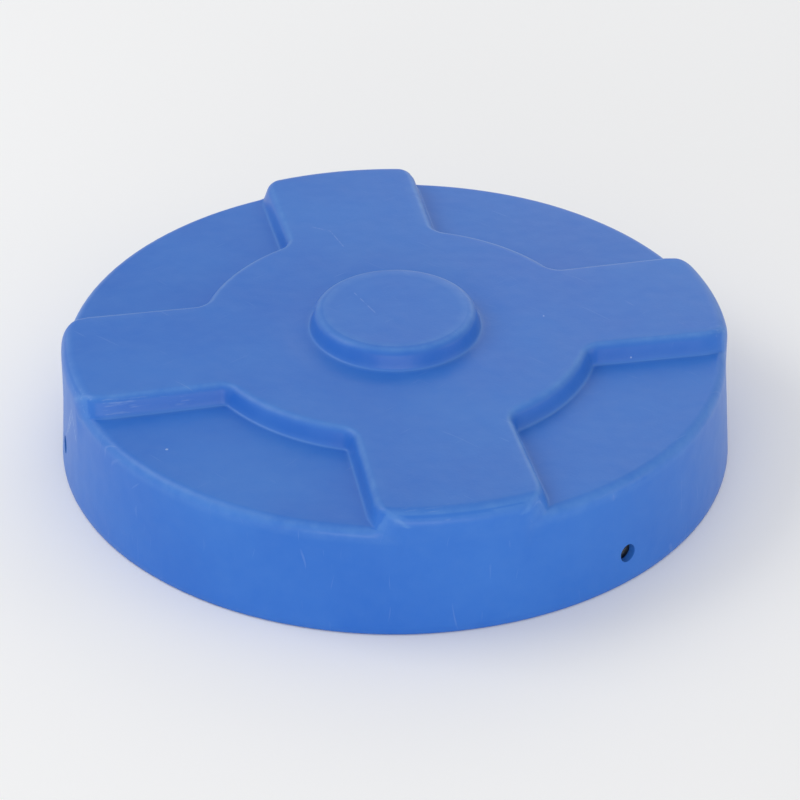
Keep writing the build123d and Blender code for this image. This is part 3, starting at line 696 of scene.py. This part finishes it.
# %% [markdown]
# ## Dust and a single scratch
# Dust lies where a surface faces up, so the surface normal decides where it goes and noise breaks it up.
# A scratch that has to be in one place is measured instead: the distance from a point to a line segment.

# %% Settled dust, and one drawn scratch
dust, given, out = new_group("settled dust", {"Size": 0.04, "Amount": 0.4}, ["Mask"])
facing = put(dust, "SeparateXYZ", {0: put(dust, "TexCoord").outputs["Normal"]}).outputs[2]
level = stretched(dust, facing, 0.2, 0.95)
patches = noise(dust, place(dust), maths(dust, "DIVIDE", 1.0, given["Size"]), 4.0)
patchy = stretched(dust, patches, 0.3, 0.7, 0.4, 1.0)
dust.links.new(maths(dust, "MULTIPLY", maths(dust, "MULTIPLY", level, patchy), given["Amount"]), out["Mask"])

scratch, given, out = new_group(
    "drawn scratch",
    {"Place": (0.0, 0.0, 0.0), "Start": (0.0, 0.0, 0.0), "End": (0.1, 0.0, 0.0), "Width": 0.0004},
    ["Mask"],
)


def vector(tree, operation, *values, output=0):
    """The result of one Vector Math node."""
    return put(tree, "VectorMath", dict(enumerate(values)), operation=operation).outputs[output]


along = vector(scratch, "SUBTRACT", given["End"], given["Start"])
from_start = vector(scratch, "SUBTRACT", given["Place"], given["Start"])
share = maths(
    scratch, "DIVIDE",
    vector(scratch, "DOT_PRODUCT", from_start, along, output="Value"),
    vector(scratch, "DOT_PRODUCT", along, along, output="Value"),
)
share = stretched(scratch, share, 0.0, 1.0)
nearest = put(scratch, "VectorMath", {0: along, "Scale": share}, operation="SCALE").outputs[0]
away = vector(scratch, "DISTANCE", from_start, nearest, output="Value")
broken = stretched(scratch, noise(scratch, given["Place"], 260.0, 2.0), 0.38, 0.55)
line = stretched(scratch, away, given["Width"], maths(scratch, "MULTIPLY", given["Width"], 0.3))
scratch.links.new(maths(scratch, "MULTIPLY", line, broken), out["Mask"])
print("groups:", dust.name, scratch.name)

# %% [markdown]
# ## The cover's polyethylene
# Rotomoulded polyethylene is a deep colour all through, a little waxy, with a sheen that turns pale where
# it is seen along the surface. On top lie the marks of use: edges pale from rubbing, scuffing at the arm
# ends, a few scratches and pale chips. Painted highlights are laid over some of them: pale lines on the step
# edges, the step feet and the boss ring, and a streak on the left arm's wall. Colour starts with the clean
# plastic, and each kind of wear and painted highlight is mixed over it by its mask.

# %% Moulded blue
CLEAN = (0.019, 0.142, 0.575)
CLEAN_PALE = (0.032, 0.172, 0.610)
# Below: the haze colour tints small clouds and rubbed edges and also paints highlights on the step edges and
# the boss ring; the scuff colour marks scuffs, scratches and chips and also paints a highlight streak on the
# left arm's wall.
HAZE_AND_HIGHLIGHT = (0.15, 0.34, 0.70)
PALE_SCUFF_AND_HIGHLIGHT = (0.42, 0.56, 0.82)


def number(tree, name):
    """A mask kept on the mesh."""
    return put(tree, "Attribute", attribute_name=name).outputs["Fac"]


def skirt_place(tree):
    """A flat map of the skirt: metres round it, and metres up."""
    x, y, z = put(tree, "SeparateXYZ", {0: place(tree)}).outputs
    round_it = maths(tree, "MULTIPLY", maths(tree, "ARCTAN2", y, x), FOOT_RADIUS * MM)
    return put(tree, "CombineXYZ", {0: round_it, 1: z}).outputs[0]


def top_place(tree):
    """A flat map of the top, seen from above."""
    x, y, z = put(tree, "SeparateXYZ", {0: place(tree)}).outputs
    return put(tree, "CombineXYZ", {0: x, 1: y}).outputs[0]


def drawn(tree, flat, lines, width):
    """Several drawn scratches on one flat map, joined into a mask. A line is its two ends in metres."""
    total = 0.0
    for start, end in lines:
        one = use(tree, scratch, Place=flat, Start=(*start, 0.0), End=(*end, 0.0), Width=width)[0]
        total = maths(tree, "MAXIMUM", total, one)
    return total


def moulded_blue():
    """The cover's finish: clouded blue, pale from rubbing, scratched and chipped, with a waxy sheen, and with
    painted highlights: pale lines on the step edges, the step feet and the boss ring, and a streak on the
    left arm's wall.
    """
    material, tree, shader = finish(
        "moulded_blue", Specular_IOR_Level=0.33, Sheen_Weight=0.06, Sheen_Roughness=0.35,
        Sheen_Tint=(0.80, 0.93, 1.0, 1.0),
    )
    wide = use(tree, clouds, Size=0.11, Contrast=1.0)[0]
    small = use(tree, clouds, Size=0.012, Contrast=0.8)[0]
    colour = mixed(tree, wide, CLEAN, CLEAN_PALE)
    colour = mixed(tree, maths(tree, "MULTIPLY", small, 0.06), colour, HAZE_AND_HIGHLIGHT)
    colour = mixed(tree, use(tree, dust, Size=0.07, Amount=0.05)[0], colour, (0.20, 0.42, 0.62))
    # Edges pale from rubbing, with a painted highlight laid over the same edges.
    rubbed_and_highlight = maths(tree, "MULTIPLY", number(tree, "rubbed_and_highlight"), stretched(tree, small, 0.1, 0.9, 0.20, 0.50))
    colour = mixed(tree, rubbed_and_highlight, colour, HAZE_AND_HIGHLIGHT)
    # Painted highlight: a thin pale line at the foot of the steps, in a paler blue.
    colour = mixed(tree, maths(tree, "MULTIPLY", number(tree, "foot_highlight"), 0.30), colour, (0.13, 0.30, 0.68))

    grit = noise(tree, vector(tree, "MULTIPLY", place(tree), (0.09, 1.0, 0.9)), 620.0, 4.0, 0.6)
    # Pale scuffs on the arm ends and corners, and the painted highlight streak on the left arm's wall, from
    # one mask.
    cut_in = maths(tree, "SUBTRACT", 0.78, maths(tree, "MULTIPLY", number(tree, "scuffed_and_highlight"), 0.26))
    scuffs_and_highlight = stretched(tree, grit, cut_in, maths(tree, "ADD", cut_in, 0.30))
    scuffs_and_highlight = maths(tree, "MULTIPLY", scuffs_and_highlight, stretched(tree, number(tree, "scuffed_and_highlight"), 0.05, 0.5))
    colour = mixed(tree, maths(tree, "MULTIPLY", scuffs_and_highlight, 0.42), colour, PALE_SCUFF_AND_HIGHLIGHT)

    bold = use(tree, hair, Length=0.045, Width=0.0007, Turn=0.9, Amount=0.25)[0]
    faint = use(tree, hair, Length=0.03, Width=0.0005, Turn=-0.5, Amount=0.25)[0]
    hairs = maths(tree, "ADD", maths(tree, "MULTIPLY", bold, 0.10), maths(tree, "MULTIPLY", faint, 0.08))
    colour = mixed(tree, hairs, colour, PALE_SCUFF_AND_HIGHLIGHT)

    round_skirt = FOOT_RADIUS * MM
    fan = [(-173.0, 75, -178.6, 38), (-172.6, 70, -177.4, 43), (-173.0, 74, -170.4, 52)]
    skirt_lines = [
        ((radians(first) * round_skirt, low * MM), (radians(second) * round_skirt, high * MM))
        for first, low, second, high in fan
    ]
    top_lines = [
        ((-0.026, 0.028), (-0.016, -0.003)),
        ((-0.023, 0.149), (-0.017, 0.123)),
        ((-0.036, 0.158), (-0.023, 0.149)),
    ]
    lines = maths(tree, "MULTIPLY", drawn(tree, skirt_place(tree), skirt_lines, 0.0010), 0.45)
    on_top = maths(tree, "MULTIPLY", drawn(tree, top_place(tree), top_lines, 0.0006), 0.22)
    lines = maths(tree, "ADD", lines, on_top)
    colour = mixed(tree, lines, colour, PALE_SCUFF_AND_HIGHLIGHT)
    chips = use(tree, specks, Size=0.0011, Spacing=0.028, Share=0.22)[0]
    colour = mixed(tree, maths(tree, "MULTIPLY", chips, 0.55), colour, PALE_SCUFF_AND_HIGHLIGHT)

    rough = stretched(tree, wide, 0.0, 1.0, 0.34, 0.43)
    rough = maths(tree, "ADD", rough, maths(tree, "MULTIPLY", scuffs_and_highlight, 0.15))
    skin = noise(tree, place(tree), 420.0, 2.0)
    swell = noise(tree, place(tree), 46.0, 1.0)
    height = maths(tree, "ADD", maths(tree, "MULTIPLY", skin, 0.10), maths(tree, "MULTIPLY", swell, 0.9))
    height = maths(tree, "SUBTRACT", height, maths(tree, "MULTIPLY", scuffs_and_highlight, 0.15))
    surface(tree, shader, colour, rough, height, 0.0006)
    return material


cover.data.materials.clear()
cover.data.materials.append(moulded_blue())
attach(cover, "cover")
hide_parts("cover_shell")
print("cover finish:", len(cover.data.materials[0].node_tree.nodes), "nodes")

# %% [markdown]
# ## Metals under the cover
# Metal colour comes from its reflection, so Metallic is near 1 and the colour is what it reflects. Zinc
# from a hot bath freezes in large crystals, zinc from a plating tank is fine and even, cast brass keeps
# the grain of the sand, and turned brass keeps the tool's rings.

# %% Galvanised steel


def galvanised():
    """Hot dipped zinc: flat crystals a centimetre wide, each its own grey, under dull white bloom."""
    material, tree, shader = finish("galvanised_steel", metallic=0.9)
    crystals = put(tree, "TexVoronoi", {"Vector": place(tree), "Scale": 120.0, "Randomness": 1.0})
    grey = put(tree, "SeparateColor", {0: crystals.outputs["Color"]}).outputs[0]
    colour = mixed(tree, grey, (0.40, 0.42, 0.44), (0.60, 0.62, 0.63))
    bloom = use(tree, clouds, Size=0.03, Contrast=2.2)[0]
    colour = mixed(tree, maths(tree, "MULTIPLY", bloom, 0.45), colour, (0.70, 0.71, 0.70))
    rust = use(tree, specks, Size=0.004, Spacing=0.03, Share=0.10)[0]
    colour = mixed(tree, maths(tree, "MULTIPLY", rust, 0.7), colour, (0.30, 0.13, 0.05))
    rough = stretched(tree, grey, 0.0, 1.0, 0.30, 0.48)
    rough = maths(tree, "ADD", rough, maths(tree, "MULTIPLY", bloom, 0.2))
    surface(tree, shader, colour, rough, noise(tree, place(tree), 300.0), 0.0002)
    return material


def plated(name, light, dark, stain, stain_share):
    """Plated or bare steel: an even grey with faint clouds, hair scratches and a few stains."""
    material, tree, shader = finish(name, metallic=1.0)
    cloud = use(tree, clouds, Size=0.006, Contrast=1.2)[0]
    colour = mixed(tree, cloud, dark, light)
    stains = use(tree, specks, Size=0.003, Spacing=0.006, Share=stain_share)[0]
    colour = mixed(tree, maths(tree, "MULTIPLY", stains, 0.6), colour, stain)
    lines = use(tree, hair, Length=0.006, Width=0.0002, Turn=0.8, Amount=0.6)[0]
    rough = stretched(tree, cloud, 0.0, 1.0, 0.26, 0.40)
    rough = maths(tree, "ADD", rough, maths(tree, "MULTIPLY", lines, 0.15))
    surface(tree, shader, colour, rough, lines, 0.00004)
    return material


print("steel finishes ready")

# %% [markdown]
# ## Brass and stainless steel
# Cast brass is rough and goes brown and green in its hollows. Turned brass is smooth, with rings round its
# axis. Drawn stainless steel has faint lines along it. Each is metal, and differs in colour and roughness.

# %% Brass and stainless


def cast_brass():
    """Sand cast brass: a grainy skin, brown in the clouds, with green tarnish in patches."""
    material, tree, shader = finish("cast_brass", metallic=0.95)
    cloud = use(tree, clouds, Size=0.014, Contrast=1.5)[0]
    colour = mixed(tree, cloud, (0.36, 0.22, 0.07), (0.66, 0.47, 0.19))
    green = use(tree, clouds, Size=0.009, Contrast=3.0)[0]
    green = maths(tree, "MULTIPLY", stretched(tree, green, 0.75, 1.0), 0.5)
    colour = mixed(tree, green, colour, (0.16, 0.34, 0.24))
    rough = stretched(tree, cloud, 0.0, 1.0, 0.55, 0.38)
    rough = maths(tree, "ADD", rough, maths(tree, "MULTIPLY", green, 0.4))
    surface(tree, shader, colour, rough, noise(tree, place(tree), 1500.0, 3.0), 0.00025)
    return material


def turned_brass():
    """Brass from a lathe: bright, with close tool rings square to the valve's axis and light tarnish."""
    material, tree, shader = finish("turned_brass", metallic=1.0)
    cloud = use(tree, clouds, Size=0.010, Contrast=1.4)[0]
    colour = mixed(tree, cloud, (0.52, 0.35, 0.12), (0.78, 0.58, 0.26))
    feeds = {"Vector": place(tree), "Scale": 900.0, "Distortion": 0.3}
    rings = put(tree, "TexWave", feeds, wave_type="BANDS", bands_direction="X").outputs["Fac"]
    rough = stretched(tree, cloud, 0.0, 1.0, 0.36, 0.22)
    rough = maths(tree, "ADD", rough, maths(tree, "MULTIPLY", rings, 0.06))
    surface(tree, shader, colour, rough, rings, 0.00004)
    return material


def drawn_stainless():
    """Stainless rod: streaks along the drawing direction, here along X, over a clean grey."""
    material, tree, shader = finish("drawn_stainless", metallic=1.0)
    streaks = noise(tree, vector(tree, "MULTIPLY", place(tree), (40.0, 2600.0, 2600.0)), 1.0, 2.0)
    colour = mixed(tree, stretched(tree, streaks, 0.3, 0.7), (0.50, 0.50, 0.49), (0.70, 0.70, 0.68))
    rough = stretched(tree, streaks, 0.3, 0.7, 0.20, 0.34)
    surface(tree, shader, colour, rough, streaks, 0.00003)
    return material


print("brass and stainless finishes ready")

# %% [markdown]
# ## Plastics and rubber under the cover
# Plastic is told apart by its sheen and its history. Nylon is dense and slightly yellow, an extruded tube
# has fine lines along it, rubber blooms grey, and the float carries a line of lime where the water stands.

# %% Plastics and rubber


def white_nylon():
    """Moulded nylon: creamy, a little translucent, with faint clouds and dirt."""
    material, tree, shader = finish("white_nylon", Subsurface_Weight=0.15, Subsurface_Scale=0.002)
    cloud = use(tree, clouds, Size=0.005, Contrast=1.2)[0]
    colour = mixed(tree, cloud, (0.70, 0.68, 0.58), (0.86, 0.85, 0.79))
    surface(tree, shader, colour, stretched(tree, cloud, 0.0, 1.0, 0.34, 0.46), cloud, 0.00005)
    return material


def black_tube():
    """Extruded polyethylene: black, with fine lines down its length and chalky dust."""
    material, tree, shader = finish("black_tube")
    lines = noise(tree, vector(tree, "MULTIPLY", place(tree), (900.0, 900.0, 20.0)), 1.0, 2.0)
    colour = mixed(tree, stretched(tree, lines, 0.3, 0.7), (0.014, 0.014, 0.016), (0.040, 0.040, 0.043))
    colour = mixed(tree, use(tree, dust, Size=0.01, Amount=0.35)[0], colour, (0.22, 0.21, 0.19))
    surface(tree, shader, colour, stretched(tree, lines, 0.3, 0.7, 0.34, 0.5), lines, 0.00008)
    return material


def black_rubber():
    """Seal rubber: nearly black, with a grey bloom in clouds."""
    material, tree, shader = finish("black_rubber", Specular_IOR_Level=0.3)
    bloom = use(tree, clouds, Size=0.004, Contrast=1.6)[0]
    colour = mixed(tree, bloom, (0.016, 0.016, 0.017), (0.065, 0.064, 0.062))
    surface(tree, shader, colour, stretched(tree, bloom, 0.0, 1.0, 0.55, 0.8), bloom, 0.0001)
    return material


FLOAT_WATER_LINE = 0.5               # share of the float's height that stands in the water


def float_plastic():
    """Blow moulded float: orange red with an orange-peel skin, fine scratches, and lime at the water line."""
    low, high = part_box("float_body")
    line = low.z + (high.z - low.z) * FLOAT_WATER_LINE
    material, tree, shader = finish("float_plastic", Coat_Weight=0.15, Coat_Roughness=0.25)
    cloud = use(tree, clouds, Size=0.03, Contrast=1.2)[0]
    colour = mixed(tree, cloud, (0.60, 0.075, 0.022), (0.74, 0.125, 0.04))
    height = put(tree, "SeparateXYZ", {0: place(tree)}).outputs[2]
    away = maths(tree, "ABSOLUTE", maths(tree, "SUBTRACT", height, line))
    wave = maths(tree, "MULTIPLY", use(tree, clouds, Size=0.012, Contrast=1.0)[0], 0.004)
    lime = stretched(tree, maths(tree, "SUBTRACT", away, wave), 0.004, 0.0, 0.0, 0.5)
    colour = mixed(tree, lime, colour, (0.72, 0.66, 0.58))
    hairs = use(tree, hair, Length=0.02, Width=0.0004, Turn=0.4, Amount=0.6)[0]
    colour = mixed(tree, maths(tree, "MULTIPLY", hairs, 0.25), colour, (0.80, 0.35, 0.22))
    rough = stretched(tree, cloud, 0.0, 1.0, 0.28, 0.38)
    rough = maths(tree, "ADD", rough, maths(tree, "MULTIPLY", lime, 0.5))
    surface(tree, shader, colour, rough, noise(tree, place(tree), 500.0, 1.0), 0.00012)
    return material


print("plastic and rubber finishes ready")

# %% [markdown]
# ## A finish for each piece
# The record names a material for each node, so a dictionary from that name to a finish covers them all.
# The meshes from the CAD stay as they are, and only what is in their material slots changes.

# %% Give every node its finish
FINISHES = {
    "galvanised_steel": galvanised(),
    "plain_steel": plated("weld_nut_steel", (0.44, 0.44, 0.43), (0.24, 0.23, 0.22), (0.20, 0.09, 0.04), 0.35),
    "zinc_plated_steel": plated(
        "zinc_plate", (0.72, 0.73, 0.74), (0.54, 0.55, 0.58), (0.55, 0.52, 0.42), 0.25
    ),
    "cast_brass": cast_brass(),
    "turned_brass": turned_brass(),
    "stainless_steel": drawn_stainless(),
    "white_nylon": white_nylon(),
    "black_polyethylene": black_tube(),
    "black_rubber": black_rubber(),
    "float_polyethylene": float_plastic(),
}
slot_of = {part["node"]: part["material_slot"] for part in frame["record"]["subparts"]}
for node, piece in frame["nodes"].items():
    if slot_of[node] in FINISHES:
        piece.data.materials.clear()
        piece.data.materials.append(FINISHES[slot_of[node]])
print("finishes:", len(FINISHES), "for", len(frame["nodes"]) - 1, "nodes")
